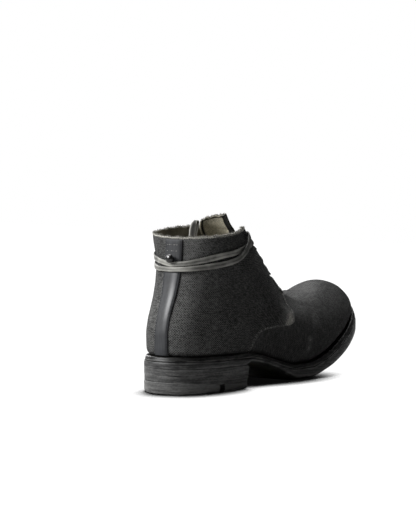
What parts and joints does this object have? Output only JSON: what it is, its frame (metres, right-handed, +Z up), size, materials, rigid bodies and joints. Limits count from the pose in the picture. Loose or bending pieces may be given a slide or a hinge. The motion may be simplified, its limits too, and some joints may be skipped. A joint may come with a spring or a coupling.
{
  "type": "lace-up ankle boot",
  "caption": "Right lace-up ankle boot of dark waxed canvas, with an upturned round toe, stacked heel, back strip, stud and leather lace wound round the ankle.",
  "frame": {"origin": "on the floor, under the middle of the sole's length and width", "axes": "+Y from the heel to the toe, +X to the outer side of the right foot, +Z up"},
  "size_m": [0.1052, 0.297, 0.159],
  "materials": {
    "heel_rubber": "matt, scuffed",
    "heel_leather": "sanded and inked edge",
    "sole_leather": "inked edge",
    "lining": "plain canvas",
    "waxed_canvas": "coarse weave, waxed",
    "strip_leather": "smooth, slightly glossy",
    "lace_leather": "matt",
    "stud_metal": "gloss black"
  },
  "bodies": {
    "root": {"heel_top_piece": "heel_rubber", "heel_lift_lower": "heel_leather", "heel_lift_upper": "heel_leather", "outsole": "sole_leather", "welt": "sole_leather", "insole": "lining", "upper": "waxed_canvas", "back_strip": "strip_leather", "tongue": "lining", "lace_stud": "stud_metal", "lace_bars": "lace_leather", "lace_wrap_upper": "lace_leather", "lace_wrap_lower": "lace_leather", "lace_loop": "lace_leather"}
  },
  "joints": []
}
